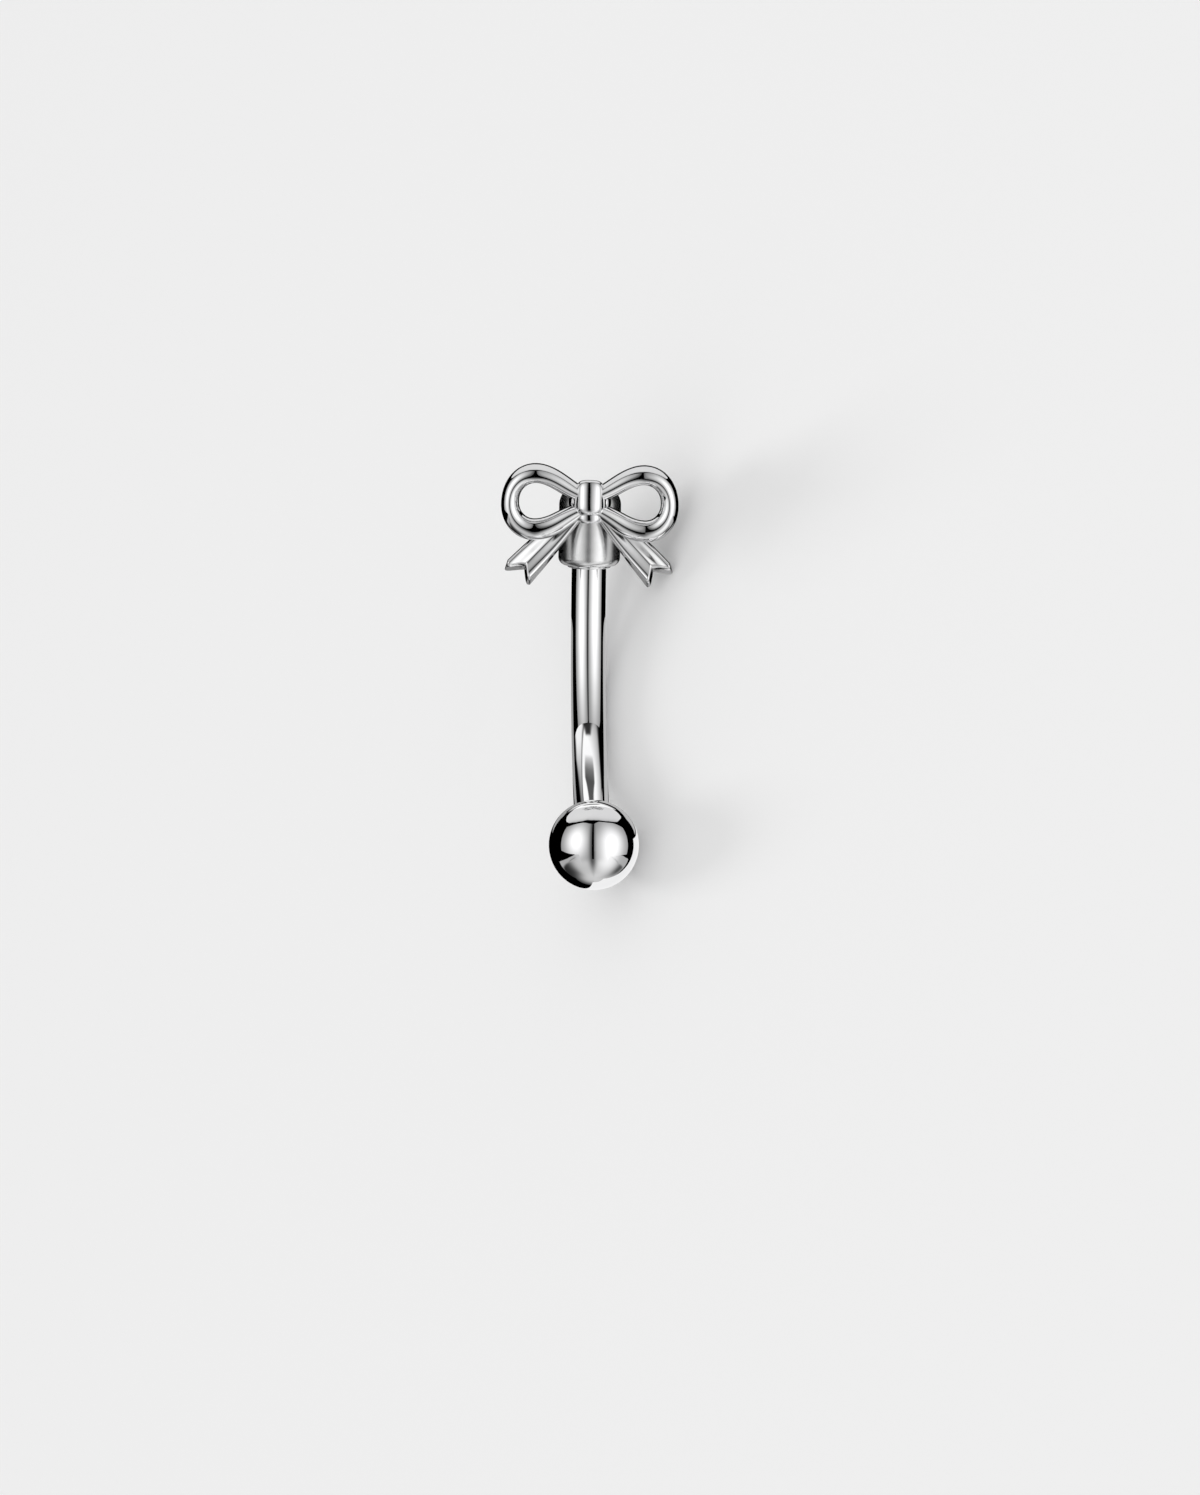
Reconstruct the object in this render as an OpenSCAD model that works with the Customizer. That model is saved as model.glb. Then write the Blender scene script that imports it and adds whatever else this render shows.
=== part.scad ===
// Curved barbell eyebrow stud in polished surgical steel, with a cast ribbon bow at one end
// and a screw-on ball at the other. It lies the way it settles on a table, on the floor plane z = 0.
// In the stud's own frame the bar bends in the YZ plane round a point in front of it (-Y),
// with the middle of its outer side at the origin and the bow's end up.

/* [Bar] */
// Thickness of the round bar, 16 gauge
bar_d = 1.2; // [1.0:0.1:1.3]
// Radius that the bar's centre line is bent to
bend_r = 9; // [8:0.25:12]
// Angle that the bare part of the bar bends through
bend_angle = 63.6; // [50:1:75]
// Thickness of the plain hidden post at each end of the bar
post_d = 1.0; // [0.8:0.1:1.0]
// How far the full thickness of the bar goes into the barrel
barrel_sleeve = 0.3; // [0.1:0.05:0.5]
// How far the full thickness of the bar goes into the ball
ball_sleeve = 0.15; // [0.1:0.05:0.3]
// How far the post's end is inside the barrel
barrel_post = 1.7; // [1.2:0.1:1.8]
// How far the post's end is inside the ball
ball_post = 1.9; // [1.5:0.1:2.2]

/* [Ball] */
// Diameter of the screw-on ball
ball_d = 3.0; // [2.8:0.1:3.4]

/* [Barrel] */
// Diameter of the barrel that carries the bow
barrel_d = 2.15; // [2.0:0.05:2.4]
// Height of the barrel along the bar
barrel_h = 2.75; // [2.6:0.05:3]
// Radius of the barrel's rounded top edge
barrel_top_r = 0.65; // [0.3:0.05:0.8]
// Radius of the barrel's lower rim
barrel_rim_r = 0.28; // [0.1:0.01:0.34]

/* [Bow] */
// Height of the knot's middle above the barrel's lower rim
bow_z = 2.34; // [2.3:0.02:2.44]
// Width of the knot across the ribbon
knot_w = 0.93; // [0.75:0.02:0.97]
// Height of the knot
knot_h = 1.51; // [1.3:0.02:1.6]
// How far the knot stands out from the barrel
knot_depth = 1.3; // [1.2:0.05:1.5]
// Thickness of the knot's rounded front, front to back
knot_bulge = 0.84; // [0.7:0.02:0.9]
// Turn of the knot's rounded front upwards
knot_lean = 14; // [0:1:20]
// Thickness of the looped ribbon, front to back
loop_t = 0.72; // [0.6:0.02:0.8]
// How far the middle of the looped ribbon stands out from the barrel
loop_out = 0.62; // [0.55:0.01:0.7]
// Slope that rolls the looped ribbon's front upwards where it passes over the top
loop_roll = 0.32; // [0:0.02:0.4]
// Thickness of the ribbon's tails
tail_t = 0.46; // [0.35:0.01:0.5]
// Turn of the barrel and its bow about the bar's end
bow_turn = -3.5; // [-6:0.5:6]
// Depth of the crease along each tail
crease = 0.2; // [0.1:0.01:0.25]
// How much wider the back of a tail is than its front at the cut end
tail_flare = 0.1; // [0.05:0.01:0.25]
// How much lower the back of a tail is than its front at the cut end
tail_drop = 0.2; // [0:0.02:0.24]
// Diameter of the peg at the back of the knot
peg_d = 0.5; // [0.4:0.05:0.5]
// Length of the peg inside the barrel
peg_l = 0.6; // [0.4:0.05:0.7]

/* [Rest] */
// Turn about the stud's length when it lies down, which brings its right side to the table
lay_roll = 57.2; // [50:0.05:60]
// Slope of the stud's length as it lies, the bow's end lower
lay_pitch = 2.3; // [1:0.05:5]
// Where the middle of the lying outline falls along the stud before it is moved to the origin
lay_middle_x = -0.05; // [-1:0.01:1]
// Where the middle of the lying outline falls across the stud before it is moved to the origin
lay_middle_y = -2.41; // [-3:0.01:-2]

/* [Hidden] */
gap = 0.03;
half_bend = bend_angle / 2;
// Distance from the ball's centre to the place where the bare bar meets the ball
seat = sqrt(pow(ball_d / 2, 2) - pow(bar_d / 2, 2));
// The ball's centre in the stud's own frame, and the lift that sets the ball on the floor
ball_y = bend_r * (cos(half_bend) - 1) - seat * sin(half_bend);
ball_z = -bend_r * sin(half_bend) - seat * cos(half_bend);
lift = ball_d / 2 - (ball_z * sin(lay_pitch) - ball_y * cos(lay_roll) * cos(lay_pitch));

// A ribbon loop's middle line as control rows of a smooth curve, from above the knot round to below it
// columns: sideways from the knot, up from the knot, width of the ribbon
LOOP = [
    [0.16, 0.20, 0.50], [0.42, 0.30, 0.56], [0.82, 0.53, 0.64], [1.26, 0.82, 0.66], [1.80, 1.01, 0.69],
    [2.32, 0.88, 0.68], [2.66, 0.47, 0.63], [2.76, -0.04, 0.63], [2.67, -0.54, 0.69],
    [2.29, -0.93, 0.76], [1.80, -1.00, 0.78], [1.28, -0.84, 0.74], [0.84, -0.55, 0.68],
    [0.42, -0.31, 0.56], [0.16, -0.20, 0.50]];
// A tail's two edges as control rows, from the knot to the cut end
// columns: outer edge sideways and up, inner edge sideways and up, share of the crease, rise to the front
TAIL = [
    [0.30, -0.05, 0.05, -0.35, 0, 0], [0.62, -0.28, 0.27, -0.62, 0, 0], [1.10, -0.60, 0.62, -1.10, 0.15, 0],
    [1.68, -1.01, 1.04, -1.64, 0.7, 0.10], [2.31, -1.57, 1.54, -2.19, 1, 0.28],
    [3.01, -2.25, 2.11, -2.79, 1, 0.58]];

// Value of a smooth curve through the control rows of a table, at s from 0 to 1
function bspline(t, s) =
    let (n = len(t) - 1, q = min(s, 0.999999) * n, i = floor(q), f = q - i,
        a = i == 0 ? 2 * t[0] - t[1] : t[i - 1],
        d = i + 2 > n ? 2 * t[n] - t[n - 1] : t[i + 2])
    (pow(1 - f, 3) * a + (3 * pow(f, 3) - 6 * f * f + 4) * t[i]
        + (1 + 3 * f + 3 * f * f - 3 * pow(f, 3)) * t[i + 1] + pow(f, 3) * d) / 6;
function unit(v) = v / norm(v);
function signed_power(v, e) = sign(v) * pow(abs(v), e);

// Closed skin over rings of equal length; the end rings are closed by strips across them
module skin(rings) {
    n = len(rings[0]);
    m = len(rings);
    points = [for (r = rings) each r];
    sides = [for (i = [0:m - 2], j = [0:n - 1])
        let (k = (j + 1) % n, a = i * n + j, b = i * n + k)
        each [[a, b + n, b], [a, a + n, b + n]]];
    function strip(base, flip) = [for (j = [0:n / 2 - 2])
        let (a = base + j, b = base + j + 1, c = base + n - 2 - j, d = base + n - 1 - j)
        each flip ? [[a, b, c], [a, c, d]] : [[a, c, b], [a, d, c]]];
    polyhedron(points, concat(sides, strip(0, true), strip((m - 1) * n, false)), convexity = 6);
}

// Rings along a loop, and corners of each ring
LOOP_RINGS = 34;
LOOP_SIDES = 18;
// Rings along a tail, and columns across it
TAIL_RINGS = 13;
TAIL_COLUMNS = 13;
// Facets round a rounded lump
LUMP_SIDES = 22;
// Shares of a tail's length that the cut end's notch and its blunted tips take
NOTCH = 0.11;
BLUNT = 0.04;

// Point in the bow's frame: sideways, out from the barrel's face, up
function bow_point(x, out, z) = [x, -out, z];

function loop_ring(s) =
    let (r = bspline(LOOP, s),
        d = bspline(LOOP, min(s + 0.01, 1)) - bspline(LOOP, max(s - 0.01, 0)),
        across = unit([-d[1], d[0]]),
        slope = loop_roll * max(r[1], 0) * across[1])
    [for (j = [0:LOOP_SIDES - 1])
        let (a = (j + 0.5) * 360 / LOOP_SIDES, e = a < 180 ? 1 : 0.7,
            c = r[2] / 2 * signed_power(cos(a), e),
            f = loop_t / 2 * signed_power(sin(a), e))
        bow_point(r[0] + across[0] * c, loop_out + f - slope * c, r[1] + across[1] * c)];

// Point of a tail at length s and place k across it, from -1 at the outer edge to 1 at the inner one
function tail_point(s, k, front) =
    let (r = bspline(TAIL, s * (1 - NOTCH * (1 - abs(k)) - BLUNT * pow(k, 8))), m = (1 - k) / 2,
        edge = 0.35 + 0.65 * sqrt(1 - pow(k, 8)),
        out = r[5] + (front ? tail_t * edge - crease * r[4] * (1 - pow(abs(k), 1.5)) : 0),
        drop = front ? 0 : tail_drop * s * s)
    bow_point(r[0] * m + r[2] * (1 - m), out, r[1] * m + r[3] * (1 - m) - drop);

function tail_ring(s) =
    let (k = [for (j = [0:TAIL_COLUMNS - 1]) -cos(j * 180 / (TAIL_COLUMNS - 1))],
        front_s = s * (1 - tail_flare / norm([TAIL[5][0], TAIL[5][1]])))
    [for (j = [0:TAIL_COLUMNS - 1]) tail_point(front_s, k[j], true),
        for (j = [TAIL_COLUMNS - 1:-1:0]) tail_point(s, k[j], false)];

// Rounded lump with its middle at a place in the bow's frame
module lump(x, out, z, size) {
    translate(bow_point(x, out, z))
        scale(size)
            sphere(d = 1, $fn = LUMP_SIDES);
}

// Lay the stud down on its right side, with its length along X and the bow's end at +X
module lay() {
    translate([-lay_middle_x, -lay_middle_y, lift])
        rotate([0, 0, -90])
            rotate([lay_pitch - 90, 0, 0])
                rotate([0, 0, lay_roll])
                    children();
}

// Place things in the frame of the bar's upper or lower end, with +Z along the bar
module at_bar_end(side) {
    lay()
        translate([0, -bend_r, 0])
            rotate([side * half_bend, 0, 0])
                translate([0, bend_r, 0])
                    children();
}

// End of the bar: full thickness up to the sleeve's depth, then the thinner post.
// With room round it, it is the hole for that end, with an open mouth.
module stepped_pin(sleeve, depth, room) {
    mouth = room > 0 ? bar_d / 2 : 0;
    translate([0, 0, -mouth])
        cylinder(d = bar_d + 2 * room, h = mouth + sleeve + room, $fn = 48);
    cylinder(d = post_d + 2 * room, h = depth + room, $fn = 48);
}

module curved_bar() {
    color("silver") {
        lay()
            translate([0, -bend_r, 0])
                rotate([90, 0, 90])
                    rotate([0, 0, -half_bend])
                        rotate_extrude(angle = bend_angle, $fn = 96)
                            translate([bend_r, 0])
                                circle(d = bar_d, $fn = 48);
        at_bar_end(1)
            stepped_pin(barrel_sleeve, barrel_post, 0);
        at_bar_end(-1)
            mirror([0, 0, 1])
                stepped_pin(ball_sleeve, ball_post, 0);
    }
}

module ball() {
    color("gainsboro")
        at_bar_end(-1)
            translate([0, 0, -seat])
                difference() {
                    sphere(d = ball_d, $fn = 96);
                    translate([0, 0, seat])
                        mirror([0, 0, 1])
                            stepped_pin(ball_sleeve, ball_post, gap);
                }
}

// Half outline of the barrel, with the lower rim and the top edge as quarter rounds
module barrel_outline() {
    r = barrel_d / 2;
    rim = barrel_rim_r;
    top = barrel_top_r;
    intersection() {
        union() {
            translate([0, rim]) square([r, barrel_h - rim - top]);
            square([r - rim, barrel_h - top]);
            square([r - top, barrel_h]);
            translate([r - rim, rim]) circle(r = rim, $fn = 48);
            translate([r - top, barrel_h - top]) circle(r = top, $fn = 64);
        }
        square([r, barrel_h]);
    }
}

module barrel() {
    color("darkgray")
        at_bar_end(1)
            rotate([0, 0, bow_turn])
                difference() {
                    rotate_extrude($fn = 96) barrel_outline();
                    stepped_pin(barrel_sleeve, barrel_post, gap);
                    translate([0, 0, bow_z])
                        rotate([90, 0, 0])
                            translate([0, 0, barrel_d / 2 - peg_l - gap])
                                cylinder(d = peg_d + 2 * gap, h = barrel_d, $fn = 48);
                }
}

module ribbon_loop() {
    skin([for (i = [0:LOOP_RINGS]) loop_ring(i / LOOP_RINGS)]);
}

module tail() {
    skin([for (i = [0:TAIL_RINGS]) tail_ring(i / TAIL_RINGS)]);
}

// Gathered ribbon at one side of the knot, where the loop and the tail come together
module gathers() {
    hull() {
        lump(0.25, 0.48, 0.30, [0.5, 0.75, 0.62]);
        lump(0.46, 0.60, 0.33, [0.3, 0.62, 0.50]);
    }
    hull() {
        lump(0.25, 0.48, -0.30, [0.5, 0.75, 0.62]);
        lump(0.46, 0.60, -0.33, [0.3, 0.62, 0.50]);
    }
    // Collar beside the knot
    hull() {
        lump(0.36, 0.52, 0.30, [0.56, 1.06, 0.76]);
        lump(0.36, 0.52, -0.30, [0.56, 1.06, 0.76]);
    }
    // Web in the corner of the loop's hole
    lump(0.46, 0.48, 0, [0.54, 0.76, 0.70]);
    // Root of the tail
    hull() {
        lump(0.20, 0.35, -0.20, [0.5, 0.60, 0.50]);
        lump(0.45, 0.28, -0.45, [0.4, 0.48, 0.40]);
    }
}

// Rounded front of the knot, leaning back at its top, over a plain core
module knot() {
    flat_across = 0.1;
    flat_up = 0.8;
    round_up = knot_h - flat_up;
    reach = (flat_up * sin(knot_lean) + norm([knot_bulge * cos(knot_lean), round_up * sin(knot_lean)])) / 2;
    translate(bow_point(0, knot_depth - reach, 0))
        rotate([-knot_lean, 0, 0])
            hull()
                for (x = [-1, 1], z = [-1, 1])
                    lump(x * flat_across / 2, 0, z * flat_up / 2, [knot_w - flat_across, knot_bulge, round_up]);
    lump(0, 0.5, 0, [0.7, 0.9, 1.3]);
}

module bow() {
    color("whitesmoke")
        at_bar_end(1)
            rotate([0, 0, bow_turn])
                translate([0, -barrel_d / 2 - gap, bow_z]) {
                    knot();
                    for (side = [0, 1])
                        mirror([side, 0, 0]) {
                            ribbon_loop();
                            tail();
                            gathers();
                        }
                    rotate([90, 0, 0])
                        translate([0, 0, -peg_l])
                            cylinder(d = peg_d, h = peg_l + knot_depth / 2, $fn = 48);
                }
}

curved_bar();
ball();
barrel();
bow();
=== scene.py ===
import math

import bmesh
import bpy
import numpy as np
from mathutils import Matrix, Vector


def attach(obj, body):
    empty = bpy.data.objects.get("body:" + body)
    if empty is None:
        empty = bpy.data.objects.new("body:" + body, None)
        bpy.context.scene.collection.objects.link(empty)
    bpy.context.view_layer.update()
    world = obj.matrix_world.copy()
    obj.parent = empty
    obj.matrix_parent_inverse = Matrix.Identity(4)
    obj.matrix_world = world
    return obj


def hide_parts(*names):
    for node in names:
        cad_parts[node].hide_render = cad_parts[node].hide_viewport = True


# Polished steel eyebrow stud: curved bar, ball, satin barrel and ribbon bow, lying on a pale floor
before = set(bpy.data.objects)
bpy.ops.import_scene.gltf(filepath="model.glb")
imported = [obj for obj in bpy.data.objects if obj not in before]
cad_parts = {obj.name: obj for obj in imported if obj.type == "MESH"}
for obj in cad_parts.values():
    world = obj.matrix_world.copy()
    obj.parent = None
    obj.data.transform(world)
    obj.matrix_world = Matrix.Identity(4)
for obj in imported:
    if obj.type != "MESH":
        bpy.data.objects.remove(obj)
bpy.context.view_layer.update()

MM = 0.001

# The stud's sizes as in the part's source: millimetres, degrees, and shares and powers of its curves
BAR_D = 1.2
BEND_R = 9.0
HALF_BEND = 31.8
BALL_D = 3.0
BALL_SLEEVE = 0.15
BARREL_D = 2.15
BARREL_H = 2.75
BARREL_TOP_R = 0.65
BARREL_RIM_R = 0.28
BARREL_SLEEVE = 0.3
BOW_TURN = -3.5
BOW_Z = 2.34
KNOT_W = 0.93
KNOT_H = 1.51
KNOT_DEPTH = 1.3
KNOT_BULGE = 0.84
KNOT_LEAN = 14
KNOT_FLAT = 0.8
LOOP_T = 0.72
LOOP_OUT = 0.62
LOOP_ROLL = 0.32
LOOP_FRONT = 1.0
TAIL_T = 0.46
TAIL_EDGE_SHARE = 0.35
TAIL_CORNER = 8
CREASE = 0.2
CREASE_POWER = 1.5
TAIL_FLARE = 0.1
TAIL_DROP = 0.2
NOTCH = 0.11
BLUNT = 0.04
GAP = 0.03
SEAT = math.sqrt((BALL_D / 2) ** 2 - (BAR_D / 2) ** 2)

# Details that only the scene has: rounded mouths of the holes, and the bead at the barrel's mouth
BALL_HOLE_EDGE = 0.03
BALL_HOLE_SPARE = 0.1
BARREL_HOLE_EDGE = 0.02
BEAD_R = 0.06
BEAD_DROP = 0.02
# Rise of the knot's band above the middle, which leaves its foot free, and its width against the knot's
BAND_RISE = 0.15
BAND_WIDER = 1.03
# A loop's squarer back and how much narrower its front is, and how far a tail's panels bulge beside the crease
LOOP_BACK = 0.5
DRAFT = 0.1
PANEL_BULGE = 0.032

# How the stud lies: turn about its length, slope, and the middle of its outline
LAY_ROLL = 57.2
LAY_PITCH = 2.3
LAY_MIDDLE = (-0.05, -2.41)

# The photograph's view of the stud, in the stud's own frame: degrees, and millimetres from the lens
VIEW_PITCH = 22.075
VIEW_YAW = 3.37
VIEW_ROLL = 0.57
VIEW_DISTANCE = 104.57
VIEW_RIGHT = -0.406
VIEW_UP = 4.838
LENS_MM = 72.16
SENSOR_MM = 36

# Light on the floor: all of it, the low lamp's share, and the rest, which comes from the backdrop
FLOOR_LIGHT = 1.01
LAMP_SHARE = 0.12
BACKDROP = FLOOR_LIGHT - LAMP_SHARE
# Where the low lamp stands, in the camera's frame, and how wide it looks in degrees
LAMP_FROM = (-0.801, 0.490, -0.040)
LAMP_ANGLE = 18
FLOOR_TONE = 0.86
# Floor's half side and the backdrop's radius in metres
FLOOR_HALF = 0.6
BACKDROP_R = 0.55

# Middle of the reflected studio in the camera's frame, and how far its cards are, in millimetres
STUDIO_MIDDLE = np.array([0, VIEW_DISTANCE - 3, 1.0])
STUDIO_R = 300.0
FLOOR_CARD_R = 320.0

# Columns: sideways from the knot, up from the knot, width of the ribbon
LOOP = np.array([
    [0.16, 0.20, 0.50], [0.42, 0.30, 0.56], [0.82, 0.53, 0.64], [1.26, 0.82, 0.66], [1.80, 1.01, 0.69],
    [2.32, 0.88, 0.68], [2.66, 0.47, 0.63], [2.76, -0.04, 0.63], [2.67, -0.54, 0.69],
    [2.29, -0.93, 0.76], [1.80, -1.00, 0.78], [1.28, -0.84, 0.74], [0.84, -0.55, 0.68],
    [0.42, -0.31, 0.56], [0.16, -0.20, 0.50]])
# Columns: outer edge sideways and up, inner edge sideways and up, share of the crease, rise to the front
TAIL = np.array([
    [0.30, -0.05, 0.05, -0.35, 0, 0], [0.62, -0.28, 0.27, -0.62, 0, 0], [1.10, -0.60, 0.62, -1.10, 0.15, 0],
    [1.68, -1.01, 1.04, -1.64, 0.7, 0.10], [2.31, -1.57, 1.54, -2.19, 1, 0.28],
    [3.01, -2.25, 2.11, -2.79, 1, 0.58]])
# Lumps of gathered ribbon and the knot's core: sideways, out and up from the knot, and size
WEB = (0.46, 0.48, 0.0, (0.54, 0.76, 0.70))
TAIL_ROOT = [(0.20, 0.35, -0.20, (0.5, 0.60, 0.50)), (0.45, 0.28, -0.45, (0.4, 0.48, 0.40))]
SLEEVE = [(0.25, 0.48, 0.30, (0.5, 0.75, 0.62)), (0.46, 0.60, 0.33, (0.3, 0.62, 0.50))]
KNOT_CORE = (0, 0.5, 0, (0.7, 0.9, 1.3))
# The same for the collar beside the knot and the knot's foot, which are the scene's own
COLLAR = (0.36, 0.50, 0.0, (0.54, 0.96, 1.16))
KNOT_FOOT = (0, 0.48, -0.41, (0.88, 0.90, 0.64))

# Edges of the reflected cards: azimuth and height in degrees from the camera's direction
LEFT_LOW = [(-92, -11), (-85, -13), (-75, -16.5), (-65, -19), (-52, -21.3), (-40, -22), (-37, -62), (-5.3, -62)]
LEFT_HIGH = [(-92, 33), (-85, 37), (-75, 43.5), (-65, 48.5), (-55, 53), (-45, 56), (-35, 57.3), (-5.3, 56)]
RIGHT_LOW = [(0.7, -62), (56, -62), (62, -24), (97, -17)]
RIGHT_HIGH = [(0.7, 56), (8, 58.5), (18, 61), (25, 61.5), (35, 59.5), (45, 57.5), (55, 54.5), (65, 51.5),
              (75, 47.5), (85, 41), (97, 30)]
TOP_LOW = [(-180, 50), (-150, 43), (-130, 38), (-110, 37.5), (-95, 41), (-85, 46), (-75, 50), (-65, 55),
           (-55, 58.5), (-45, 63), (-35, 66), (0, 67.5), (25, 66), (35, 64), (45, 61.5), (55, 58.5), (65, 56),
           (75, 52), (85, 47.5), (95, 44), (110, 42), (130, 37), (150, 43), (180, 50)]
TOP_HIGH = [(-180, 89.9), (180, 89.9)]
BELOW_LOW = [(-180, -89.9), (180, -89.9)]
BELOW_HIGH = [(-180, -58), (-128, -56), (-117, -25), (-95, -27.5), (-80, -27.3), (-65, -25), (-55, -22.7),
              (-49, -20), (-37, -20), (-35, -35), (54, -35), (58, -21), (85, -21), (95, -22.5), (112, -22.5),
              (119, -50), (180, -58)]


def turn(angle, axis):
    return Matrix.Rotation(math.radians(angle), 4, axis)


def lay_matrix():
    """Stud's own frame to the row's frame, in millimetres."""
    ball_y = BEND_R * (math.cos(math.radians(HALF_BEND)) - 1) - SEAT * math.sin(math.radians(HALF_BEND))
    ball_z = -BEND_R * math.sin(math.radians(HALF_BEND)) - SEAT * math.cos(math.radians(HALF_BEND))
    pitch = math.radians(LAY_PITCH)
    lift = BALL_D / 2 - (ball_z * math.sin(pitch) - ball_y * math.cos(math.radians(LAY_ROLL)) * math.cos(pitch))
    move = Matrix.Translation((-LAY_MIDDLE[0], -LAY_MIDDLE[1], lift))
    return move @ turn(-90, "Z") @ turn(LAY_PITCH - 90, "X") @ turn(LAY_ROLL, "Z")


LAY = lay_matrix()


def bar_end(side):
    return Matrix.Translation((0, -BEND_R, 0)) @ turn(side * HALF_BEND, "X") @ Matrix.Translation((0, BEND_R, 0))


TOP = LAY @ bar_end(1) @ turn(BOW_TURN, "Z")
BALL_MIDDLE = LAY @ bar_end(-1) @ Matrix.Translation((0, 0, -SEAT))
BOW = TOP @ Matrix.Translation((0, -BARREL_D / 2 - GAP, BOW_Z))


def smooth_curve(table, s):
    """Uniform cubic B-spline through a table's rows, at s from 0 to 1, straight at both ends."""
    rows = np.vstack([2 * table[0] - table[1], table, 2 * table[-1] - table[-2]])
    q = np.clip(np.asarray(s, float), 0, 0.999999) * (len(table) - 1)
    i = np.floor(q).astype(int)
    f = (q - i)[..., None]
    return ((1 - f) ** 3 * rows[i] + (3 * f ** 3 - 6 * f ** 2 + 4) * rows[i + 1]
            + (1 + 3 * f + 3 * f ** 2 - 3 * f ** 3) * rows[i + 2] + f ** 3 * rows[i + 3]) / 6


def signed_power(v, e):
    return np.sign(v) * np.abs(v) ** e


def to_world(points, matrix):
    """Millimetre points in a local frame to metres in the row's frame."""
    m = np.array(matrix)
    return (points @ m[:3, :3].T + m[:3, 3]) * MM


def grid_faces(rows, columns, ring=True):
    """Four-sided faces over a grid of points, whose columns may close to a ring."""
    faces = []
    for i in range(rows - 1):
        for j in range(columns if ring else columns - 1):
            a, b = i * columns + j, i * columns + (j + 1) % columns
            faces.append((a, b, b + columns, a + columns))
    return faces


def link(name, data):
    obj = bpy.data.objects.new(name, data)
    bpy.context.scene.collection.objects.link(obj)
    return obj


def mesh_object(name, points, faces, material, smooth=True):
    mesh = bpy.data.meshes.new(name)
    mesh.from_pydata([tuple(p) for p in points], [], faces)
    mesh.validate()
    mesh.materials.append(material)
    mesh.shade_smooth() if smooth else mesh.shade_flat()
    return link(name, mesh)


def recalc(obj):
    """Joins doubled points and turns all faces outward."""
    bm = bmesh.new()
    bm.from_mesh(obj.data)
    bmesh.ops.remove_doubles(bm, verts=bm.verts, dist=1e-8)
    bmesh.ops.recalc_face_normals(bm, faces=bm.faces)
    bm.to_mesh(obj.data)
    bm.free()
    return obj


def piece(obj, node):
    """Puts a visible piece on the root body, and hides the solid that it stands for."""
    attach(obj, "root")
    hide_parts(node)


def new_material(name):
    material = bpy.data.materials.new(name)
    material.use_nodes = True
    nodes, links = material.node_tree.nodes, material.node_tree.links
    return material, nodes, links, nodes["Principled BSDF"]


def steel(name, dark, light, rough_low, rough_high, scale, relief_strength):
    """Metal whose tone, roughness and fine relief all vary with noise in the object's own space."""
    material, nodes, links, shader = new_material(name)
    where = nodes.new("ShaderNodeTexCoord")
    cloud = nodes.new("ShaderNodeTexNoise")
    cloud.inputs["Scale"].default_value = scale
    cloud.inputs["Detail"].default_value = 4
    links.new(where.outputs["Object"], cloud.inputs["Vector"])
    tone = nodes.new("ShaderNodeValToRGB")
    for stop, position, color in zip(tone.color_ramp.elements, (0.3, 0.7), (dark, light)):
        stop.position = position
        stop.color = (*color, 1)
    links.new(cloud.outputs["Fac"], tone.inputs["Fac"])
    links.new(tone.outputs["Color"], shader.inputs["Base Color"])
    rough = nodes.new("ShaderNodeMapRange")
    rough.inputs["To Min"].default_value = rough_low
    rough.inputs["To Max"].default_value = rough_high
    links.new(cloud.outputs["Fac"], rough.inputs["Value"])
    links.new(rough.outputs["Result"], shader.inputs["Roughness"])
    add_relief(nodes, links, shader, cloud, relief_strength, 0.00001)
    shader.inputs["Metallic"].default_value = 1.0
    return material


def add_relief(nodes, links, shader, height, strength, depth):
    relief = nodes.new("ShaderNodeBump")
    relief.inputs["Strength"].default_value = strength
    relief.inputs["Distance"].default_value = depth
    links.new(height.outputs["Fac"], relief.inputs["Height"])
    links.new(relief.outputs["Normal"], shader.inputs["Normal"])


def revolved(name, profile, segments, matrix, material):
    """Profile of (radius, height) turned round the Z axis."""
    profile = np.array(profile, float)
    a = np.linspace(0, 2 * math.pi, segments, endpoint=False)
    rings = np.stack([profile[:, None, 0] * np.cos(a), profile[:, None, 0] * np.sin(a),
                      profile[:, None, 1] * np.ones_like(a)], axis=2)
    points = to_world(rings.reshape(-1, 3), matrix)
    obj = mesh_object(name, points, grid_faces(len(profile), segments), material)
    return recalc(obj)


def arc(cx, cy, r, start, stop, steps):
    return [(cx + r * math.cos(math.radians(t)), cy + r * math.sin(math.radians(t)))
            for t in np.linspace(start, stop, steps)]


def make_bar(material):
    """Swept round bar, with both ends running into their sleeves."""
    sides = 96
    half = math.radians(HALF_BEND)
    bend = np.linspace(-half, half, 181)
    centre = np.stack([0 * bend, BEND_R * (np.cos(bend) - 1), BEND_R * np.sin(bend)], axis=1)
    out = np.stack([0 * bend, np.cos(bend), np.sin(bend)], axis=1)
    low_tip = centre[0] - np.array([0, math.sin(half), math.cos(half)]) * BALL_SLEEVE
    top_tip = centre[-1] + np.array([0, -math.sin(half), math.cos(half)]) * BARREL_SLEEVE
    centre = np.vstack([low_tip, low_tip, centre, top_tip, top_tip])
    out = np.vstack([out[0], out[0], out, out[-1], out[-1]])
    radius = np.full(len(centre), BAR_D / 2)
    radius[[0, -1]] = 0
    a = np.linspace(0, 2 * math.pi, sides, endpoint=False)
    side = np.array([1.0, 0, 0])
    points = (centre[:, None] + radius[:, None, None]
              * (np.cos(a)[None, :, None] * out[:, None] + np.sin(a)[None, :, None] * side))
    obj = mesh_object("bar", to_world(points.reshape(-1, 3), LAY),
                      grid_faces(len(centre), sides), material)
    piece(recalc(obj), "curved_bar")


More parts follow.
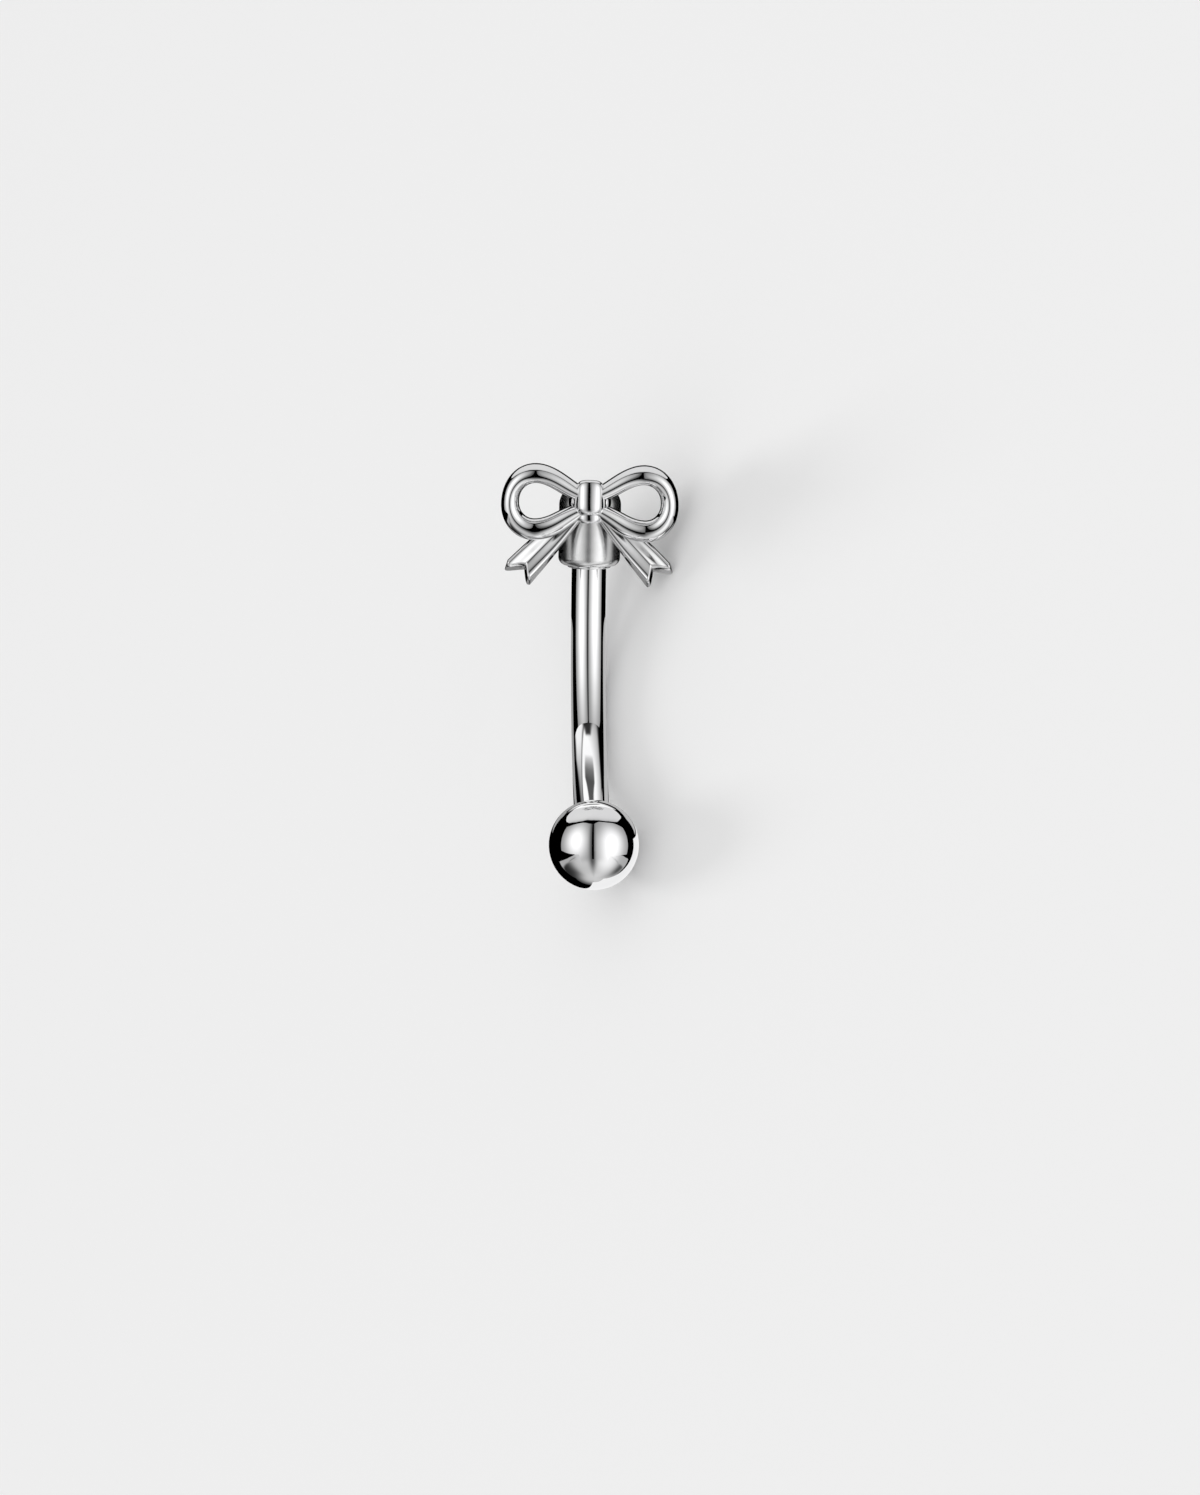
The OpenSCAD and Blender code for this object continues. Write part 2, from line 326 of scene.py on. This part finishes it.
def make_ball(material):
    """Ball with the rounded mouth of the hole that the bar runs into."""
    r = BALL_D / 2
    hole = BAR_D / 2 + GAP
    rim = math.degrees(math.acos((hole + BALL_HOLE_EDGE) / r))
    profile = [(0, -r)] + arc(0, 0, r, -90, rim, 121)[1:]
    lip_z = profile[-1][1]
    floor_z = lip_z - BALL_SLEEVE - BALL_HOLE_SPARE
    profile += arc(hole + BALL_HOLE_EDGE, lip_z - BALL_HOLE_EDGE, BALL_HOLE_EDGE, 70, 180, 8)
    profile += [(hole, floor_z), (0, floor_z)]
    obj = revolved("screw_ball", profile, 192, BALL_MIDDLE, material)
    piece(obj, "ball")


def make_barrel(material, rim_material):
    """Barrel with rounded ends, and the thin polished bead at its mouth."""
    r = BARREL_D / 2
    hole = BAR_D / 2 + GAP
    profile = [(0, BARREL_SLEEVE + GAP), (hole, BARREL_SLEEVE + GAP)]
    profile += arc(hole + BARREL_HOLE_EDGE, BARREL_HOLE_EDGE, BARREL_HOLE_EDGE, 180, 270, 6)
    profile += arc(r - BARREL_RIM_R, BARREL_RIM_R, BARREL_RIM_R, -90, 0, 14)
    profile += arc(r - BARREL_TOP_R, BARREL_H - BARREL_TOP_R, BARREL_TOP_R, 0, 90, 28)
    profile += [(0, BARREL_H)]
    piece(revolved("barrel_body", profile, 192, TOP, material), "barrel")
    bead = arc(hole + BEAD_R, -BEAD_DROP, BEAD_R, 0, 360, 25)
    piece(revolved("barrel_mouth_bead", bead, 160, TOP, rim_material), "barrel")


def skin(name, rings, matrix, material):
    """Closed surface over rings, whose ends are closed by strips across them."""
    rings = np.array(rings)
    m, n = rings.shape[:2]
    faces = grid_faces(m, n)
    for base in (0, (m - 1) * n):
        for j in range(n // 2 - 1):
            faces.append((base + j, base + j + 1, base + n - 2 - j, base + n - 1 - j))
    obj = mesh_object(name, to_world(rings.reshape(-1, 3), matrix), faces, material)
    return recalc(obj)


def loop_rings(side, count, sides):
    """Rings of a loop's ribbon, rounded in front and squarer behind."""
    s = np.linspace(0, 1, count)
    step = 0.002
    row = smooth_curve(LOOP, s)
    d = smooth_curve(LOOP, s + step) - smooth_curve(LOOP, s - step)
    across = np.stack([-d[:, 1], d[:, 0]], axis=1)
    across /= np.linalg.norm(across, axis=1)[:, None]
    a = (np.arange(sides) + 0.5) * 2 * math.pi / sides
    e = np.where(a < math.pi, LOOP_FRONT, LOOP_BACK)
    c = row[:, 2:3] / 2 * signed_power(np.cos(a), e) * (1 - DRAFT * (1 + np.sin(a)) / 2)
    f = LOOP_T / 2 * signed_power(np.sin(a), e)
    x = side * (row[:, 0:1] + across[:, 0:1] * c)
    z = row[:, 1:2] + across[:, 1:2] * c
    slope = LOOP_ROLL * np.maximum(row[:, 1:2], 0) * across[:, 1:2]
    return np.stack([x, -(LOOP_OUT + f - slope * c + 0 * x), z], axis=2)


def tail_surface(side, k, s, front):
    """Front or back of a tail, at k from edge to edge and s from the knot to the cut end."""
    cut = s[:, None] * (1 - NOTCH * (1 - np.abs(k)) - BLUNT * k ** TAIL_CORNER)
    row = smooth_curve(TAIL, cut)
    m = ((1 - k) / 2)[None, :]
    x = row[..., 0] * m + row[..., 2] * (1 - m)
    z = row[..., 1] * m + row[..., 3] * (1 - m) - (0 if front else TAIL_DROP * s[:, None] ** 2)
    edge = TAIL_EDGE_SHARE + (1 - TAIL_EDGE_SHARE) * np.sqrt(np.clip(1 - k ** TAIL_CORNER, 0, 1))
    crease = CREASE * (1 - np.abs(k) ** CREASE_POWER) - PANEL_BULGE * np.sin(math.pi * np.abs(k)) ** 2
    out = row[..., 5] + (TAIL_T * edge - row[..., 4] * crease if front else 0)
    return np.stack([side * x, -out, z], axis=2)


def tail_rings(side, count, columns):
    """Rings of a tail: its creased front one way and its plain back the other."""
    k = -np.cos(np.linspace(0, math.pi, columns))
    s = np.linspace(0, 1, count)
    front_s = s * (1 - TAIL_FLARE / math.hypot(TAIL[-1][0], TAIL[-1][1]))
    return np.concatenate([tail_surface(side, k, front_s, True), tail_surface(side, k[::-1], s, False)], axis=1)


def lump_points(x, out, z, size, steps=40, e_up=1.0, e_round=1.0):
    """Rounded lump: superellipsoid with its middle at a place in the bow's frame."""
    v = np.linspace(-math.pi / 2, math.pi / 2, steps)
    u = np.linspace(0, 2 * math.pi, 2 * steps, endpoint=False)
    cu, su = signed_power(np.cos(u), e_round), signed_power(np.sin(u), e_round)
    cv, sv = signed_power(np.cos(v), e_up), signed_power(np.sin(v), e_up)
    return np.stack([np.outer(cv, cu) * size[0] / 2 + x, np.outer(cv, su) * size[1] / 2 - out,
                     np.outer(sv, np.ones_like(u)) * size[2] / 2 + z], axis=2)


def lump(name, points, material, matrix=None):
    matrix = BOW if matrix is None else matrix
    obj = mesh_object(name, to_world(points.reshape(-1, 3), matrix),
                      grid_faces(*points.shape[:2]), material)
    return recalc(obj)


def hull_of(name, lumps, material):
    """Smooth hull over several rounded lumps."""
    bm = bmesh.new()
    for points in lumps:
        for p in to_world(points.reshape(-1, 3), BOW) / MM:
            bm.verts.new(p)
    bmesh.ops.remove_doubles(bm, verts=bm.verts, dist=1e-5)
    made = bmesh.ops.convex_hull(bm, input=bm.verts, use_existing_faces=False)
    inside = {v for v in made["geom_interior"] + made["geom_unused"] if isinstance(v, bmesh.types.BMVert)}
    bmesh.ops.delete(bm, geom=list(inside), context="VERTS")
    bmesh.ops.scale(bm, vec=(MM, MM, MM), verts=bm.verts)
    mesh = bpy.data.meshes.new(name)
    bm.to_mesh(mesh)
    bm.free()
    mesh.materials.append(material)
    mesh.shade_smooth()
    return link(name, mesh)


def make_gathers(side, word, material):
    """Ribbon gathered beside the knot: a collar, two sleeves, the web between them and the tail's root."""
    def at(x, out, z, size, up=1, **more):
        return lump_points(side * x, out, up * z, size, **more)
    made = [lump("bow_collar_" + word, at(*COLLAR, steps=60, e_up=0.7), material),
            lump("bow_web_" + word, at(*WEB), material),
            hull_of("bow_tail_root_" + word, [at(*place) for place in TAIL_ROOT], material)]
    for up, end in ((1, "upper"), (-1, "lower")):
        made.append(hull_of(f"bow_sleeve_{end}_{word}", [at(*place, up=up) for place in SLEEVE], material))
    return made


def make_knot(material):
    """Knot's band, leaning back at its top, over a core and the narrower foot that shows below it."""
    lean = math.radians(KNOT_LEAN)
    reach = (KNOT_FLAT * math.sin(lean)
             + math.hypot(KNOT_BULGE * math.cos(lean), (KNOT_H - KNOT_FLAT) * math.sin(lean))) / 2
    leaning = BOW @ Matrix.Translation((0, reach - KNOT_DEPTH, 0)) @ turn(-KNOT_LEAN, "X")
    band = lump_points(0, 0, BAND_RISE, (KNOT_W * BAND_WIDER, KNOT_BULGE, KNOT_H - 2 * BAND_RISE),
                       steps=120, e_up=0.46, e_round=0.8)
    return [lump("bow_knot", band, material, leaning),
            lump("bow_knot_core", lump_points(*KNOT_CORE), material),
            lump("bow_knot_foot", lump_points(*KNOT_FOOT, steps=60, e_up=0.42, e_round=0.75), material)]


def make_bow(material, tail_material):
    made = []
    for side, word in ((-1, "left"), (1, "right")):
        made.append(skin("bow_loop_" + word, loop_rings(side, 321, 72), BOW, material))
        made.append(skin("bow_tail_" + word, tail_rings(side, 81, 81), BOW, tail_material))
        made += make_gathers(side, word, material)
    made += make_knot(material)
    for obj in made:
        piece(obj, "bow")


def camera_matrix():
    """The photograph's camera in the row's frame, in millimetres."""
    swing = Matrix.Translation((0, -BEND_R, 0)) @ turn(-VIEW_PITCH, "X") @ Matrix.Translation((0, BEND_R, 0))
    place = Matrix.Translation((VIEW_RIGHT, VIEW_DISTANCE, VIEW_UP))
    stud_to_camera = place @ turn(VIEW_ROLL, "Y") @ turn(VIEW_YAW, "Z") @ swing
    return LAY @ stud_to_camera.inverted()


def make_camera():
    seen = camera_matrix() @ turn(90, "X")
    data = bpy.data.cameras.new("photo_camera")
    data.sensor_width = SENSOR_MM
    data.lens = LENS_MM
    data.clip_start = 0.001
    data.clip_end = 10
    camera = link("photo_camera", data)
    camera.rotation_euler = seen.to_euler()
    camera.location = seen.translation * MM
    bpy.context.scene.camera = camera


def glow_material(name):
    """Light whose strength at each point is that point's value of glow."""
    material = bpy.data.materials.new(name)
    material.use_nodes = True
    nodes, links = material.node_tree.nodes, material.node_tree.links
    nodes.clear()
    out = nodes.new("ShaderNodeOutputMaterial")
    glow = nodes.new("ShaderNodeEmission")
    level = nodes.new("ShaderNodeAttribute")
    level.attribute_name = "glow"
    links.new(level.outputs["Fac"], glow.inputs["Strength"])
    links.new(glow.outputs["Emission"], out.inputs["Surface"])
    material.cycles.emission_sampling = "NONE"
    return material


def set_glow(obj, value):
    attribute = obj.data.attributes.new("glow", "FLOAT", "POINT")
    attribute.data.foreach_set("value", np.asarray(value, float).ravel())


def glow_card(name, x, y, z, value, material):
    """Light card from grids of places in the camera's frame, in millimetres, seen in reflections only."""
    points = np.stack([x, y, z], axis=2)
    obj = mesh_object(name, to_world(points.reshape(-1, 3), camera_matrix()),
                      grid_faces(*points.shape[:2], ring=False), material)
    set_glow(obj, value)
    for flag in ("visible_camera", "visible_diffuse", "visible_transmission", "visible_volume_scatter",
                 "visible_shadow"):
        setattr(obj, flag, False)


def bump(az, el, at_az, at_el, wide, high):
    return np.exp(-((az - at_az) / wide) ** 2 - ((el - at_el) / high) ** 2)


def height_at(edge, az):
    return np.interp(az, [p[0] for p in edge], [p[1] for p in edge])


def far_card(name, low, high, brightness, material, radius=STUDIO_R):
    """Part of a sphere round the stud, between two edges."""
    a = np.linspace(low[0][0], low[-1][0], 141)
    low_edge, high_edge = height_at(low, a), height_at(high, a)
    share = np.linspace(0, 1, 91)
    aa = np.repeat(a[:, None], len(share), axis=1)
    bb = low_edge[:, None] + (high_edge - low_edge)[:, None] * share
    ra, rb = np.radians(aa), np.radians(bb)
    x, y, z = STUDIO_MIDDLE
    glow_card(name, np.sin(ra) * np.cos(rb) * radius + x, -np.cos(ra) * np.cos(rb) * radius + y,
              np.sin(rb) * radius + z, brightness(aa, bb), material)


def fade(x, middle, wide):
    """Smooth change from 0 to 1 round a middle value."""
    return 1 / (1 + np.exp(-(x - middle) / wide))


def below(az, el):
    """Pale surroundings low down: brighter to the right in front, dark behind on the left and at the right."""
    drop = np.exp(-(np.minimum(el + 40, 0) / 27) ** 2)
    pale = 0.57 + 0.06 * fade(el, -50, 4) + 0.38 * np.exp(-((az - 42) / 32) ** 2) * drop + 0.08 * fade(-el, 76, 3)
    behind = 0.97 * fade(-az, 71, 8) * fade(el, -68, 4.5) * fade(-el, 34.5, 0.8)
    beside = 0.86 * np.exp(-((az - 101) / 21) ** 2 - (np.minimum(el + 46, 0) / 20) ** 2) * fade(-el, 37, 0.7)
    shade = 0.3 * fade(az, 72, 4) * fade(el, -37, 0.7) + 0.3 * fade(-az, 52, 3) * fade(el, -34.5, 0.8)
    foot = 0.85 * np.exp(-((az + 3.5) / 12.5) ** 2 - (np.minimum(el + 38, 0) / 30) ** 2)
    left_seam = 0.5 * np.exp(-((el + 33 - 0.22 * (az + 75)) / 1.1) ** 2) * fade(-np.abs(az + 66), -13, 2)
    right_seam = 0.3 * np.exp(-((el + 27 + 0.33 * (az - 50)) / 1.3) ** 2) * fade(-np.abs(az - 65), -16, 2)
    return pale * (1 - behind) * (1 - beside) * (1 - shade) * (1 - foot) * (1 - left_seam) * (1 - right_seam)


def front_level(az, el, upper):
    """A soft box's own brightness, fading into the surroundings under it."""
    low = fade(-el, np.where(np.abs(az) > 44, 26, 37), 3.0)
    return upper * (1 - low) + below(az, el) * low


def left_box(az, el):
    high = np.where(el > 11, 36, 42)
    wide = np.where(az < -46, 30, 28)
    body = 0.24 + 1.1 * bump(az, el, -46, 11, wide, high)
    return front_level(az, el, body * (1 - 0.72 * np.exp(-((az + 5.3) / 7.0) ** 2)))


def right_box(az, el):
    high = np.where(el > 5, 39, 75)
    body = 0.26 + 1.15 * bump(az, el, 47, 5, 33, high)
    edge = np.where(el < -15, 0.62, 0.5)
    return front_level(az, el, body * (1 - edge * np.exp(-((az - 0.7) / 4.2) ** 2)))


def top_box(az, el):
    return 0.77 - 0.36 * np.exp(-(el - height_at(TOP_LOW, az)) / 5) * fade(-np.abs(az), -100, 5)


def lamp_level(u, v):
    """Brightness of the lamp's face: a dark lens in the middle, pale panels beside it and a dark seam between."""
    seam = -(1.66 - 1.05 * v)
    left_end = -3.1 + 1.05 * np.maximum(v - 0.1, 0)
    right_end = 2.2 - 1.35 * v
    left = np.clip(0.58 + 0.5 * v, 0, 1) * fade(u, left_end, 0.12)
    right = np.clip(0.42 + 0.5 * (right_end - u), 0, 1.1) * fade(-u, -right_end, 0.06)
    level = left + (right - left) * fade(u, seam + 0.12, 0.02)
    level = level * (1 - 0.75 * np.exp(-((u - seam - 0.04) / 0.11) ** 2))
    wide = np.interp(v, [-0.28, -0.22, -0.18, -0.12, 0.05, 0.15, 0.30], [0.1, 0.6, 0.75, 0.97, 0.85, 0.75, 0.6])
    depth = np.interp(v, [-0.28, -0.24, -0.1, 0.05, 0.15, 0.27, 0.36], [0.0, 0.9, 0.92, 0.82, 0.66, 0.38, 0.0])
    level = level * (1 - depth * fade(wide - np.abs(u + 0.13), 0, 0.05))
    return level * (1 - 0.96 * fade(0.24 - np.abs(u + 0.1), 0, 0.03) * fade(v, 0.9, 0.02))


def make_studio():
    """Soft boxes and pale surroundings that the steel mirrors."""
    glow = glow_material("softbox_light")
    far_card("softbox_left", LEFT_LOW, LEFT_HIGH, left_box, glow)
    far_card("softbox_right", RIGHT_LOW, RIGHT_HIGH, right_box, glow)
    far_card("softbox_top", TOP_LOW, TOP_HIGH, top_box, glow)
    far_card("pale_floor_light", BELOW_LOW, BELOW_HIGH, below, glow, FLOOR_CARD_R)
    # Pale crescent of the table beside the ball, which the bow is too far away to mirror
    ball = camera_matrix().inverted() @ BALL_MIDDLE.translation
    reach, rise = 12, 1.5
    a, z = np.meshgrid(np.radians(np.linspace(117, 186, 60)), np.linspace(-40, 0, 60), indexing="ij")
    glow_card("pale_table_light", ball.x + reach * np.sin(a), ball.y - reach * np.cos(a), ball.z + rise + z,
              0.95 + 0 * a, glow)
    # Pale wall close behind the lower bar, which its edges mirror
    along, up = np.meshgrid(np.linspace(0, 1, 9), np.linspace(0, 1, 9), indexing="ij")
    middle, gap, height = -0.4, 0.7, 5.9
    for name, side, level, reach in (("wall_light_left", -1, 0.38, 8.0), ("wall_light_right", 1, 0.52, 10.0)):
        x = middle + side * (gap + reach * along)
        glow_card(name, x, VIEW_DISTANCE + 6 + 0 * x, VIEW_UP - height + height * up, level + 0 * x, glow)
    # Lamp above the lower bar, with a curved face: the bar's long reflection
    curve = 0.22
    u, v = np.meshgrid(np.linspace(-3.5, 2.8, 211), np.linspace(-0.9, 1.34, 151), indexing="ij")
    glow_card("lamp_above", u - 0.36, VIEW_DISTANCE - 3.0 + curve * u * u + v, VIEW_UP - 3.9 + 0 * u,
              lamp_level(u, v), glow)


def make_floor():
    floor_material, nodes, links, shader = new_material("pale_floor")
    shader.inputs["Base Color"].default_value = (FLOOR_TONE, FLOOR_TONE, FLOOR_TONE, 1)
    shader.inputs["Roughness"].default_value = 0.9
    grain = nodes.new("ShaderNodeTexNoise")
    grain.inputs["Scale"].default_value = 900
    add_relief(nodes, links, shader, grain, 0.02, 0.0001)
    corners = [(x * FLOOR_HALF, y * FLOOR_HALF, 0) for x, y in ((-1, -1), (1, -1), (1, 1), (-1, 1))]
    floor = mesh_object("floor", corners, [(0, 1, 2, 3)], floor_material, smooth=False)
    floor.visible_glossy = False


def make_backdrop():
    """Dome that fills the view beyond the floor and lights the floor evenly, in a world that is dark itself."""
    world = bpy.data.worlds.new("studio")
    bpy.context.scene.world = world
    world.use_nodes = True
    world.node_tree.nodes["Background"].inputs["Strength"].default_value = 0.0
    a = np.radians(np.linspace(0, 360, 65)[:-1])
    b = np.radians(np.linspace(-4, 90, 25))
    bb, aa = np.meshgrid(b, a, indexing="ij")
    p = np.stack([np.cos(bb) * np.cos(aa), np.cos(bb) * np.sin(aa), np.sin(bb)], axis=2) * BACKDROP_R
    dome = mesh_object("backdrop", p.reshape(-1, 3), grid_faces(*p.shape[:2]), glow_material("backdrop_light"))
    set_glow(dome, np.full(len(dome.data.vertices), BACKDROP))
    dome.visible_glossy = False
    dome.visible_shadow = False


def make_lights():
    """Broad soft light from low on the left, so that the ball's shadow runs off to the right."""
    toward = camera_matrix().to_3x3() @ Vector(LAMP_FROM).normalized()
    data = bpy.data.lights.new("light_from_left", "SUN")
    data.angle = math.radians(LAMP_ANGLE)
    data.energy = LAMP_SHARE * math.pi / toward.z
    light = link("light_from_left", data)
    light.rotation_euler = (-toward).to_track_quat("-Z", "Y").to_euler()
    light.visible_glossy = False
    light.visible_camera = False


def set_look():
    bpy.context.scene.view_settings.view_transform = "Standard"
    bpy.context.scene.view_settings.look = "None"


polish = steel("polished_steel", (0.86, 0.86, 0.87), (0.92, 0.92, 0.92), 0.01, 0.04, 900, 0.04)
ball_polish = steel("polished_ball_steel", (0.87, 0.87, 0.88), (0.93, 0.93, 0.93), 0.01, 0.03, 700, 0.02)
satin = steel("satin_steel", (0.80, 0.80, 0.80), (0.88, 0.88, 0.88), 0.24, 0.28, 2500, 0.15)
cast = steel("cast_polished_steel", (0.85, 0.85, 0.86), (0.92, 0.92, 0.92), 0.02, 0.05, 1200, 0.05)
tail_cast = steel("cast_tail_steel", (0.80, 0.80, 0.81), (0.87, 0.87, 0.87), 0.08, 0.12, 1200, 0.05)

make_bar(polish)
make_ball(ball_polish)
make_barrel(satin, polish)
make_bow(cast, tail_cast)
make_camera()
make_studio()
make_floor()
make_backdrop()
make_lights()
set_look()
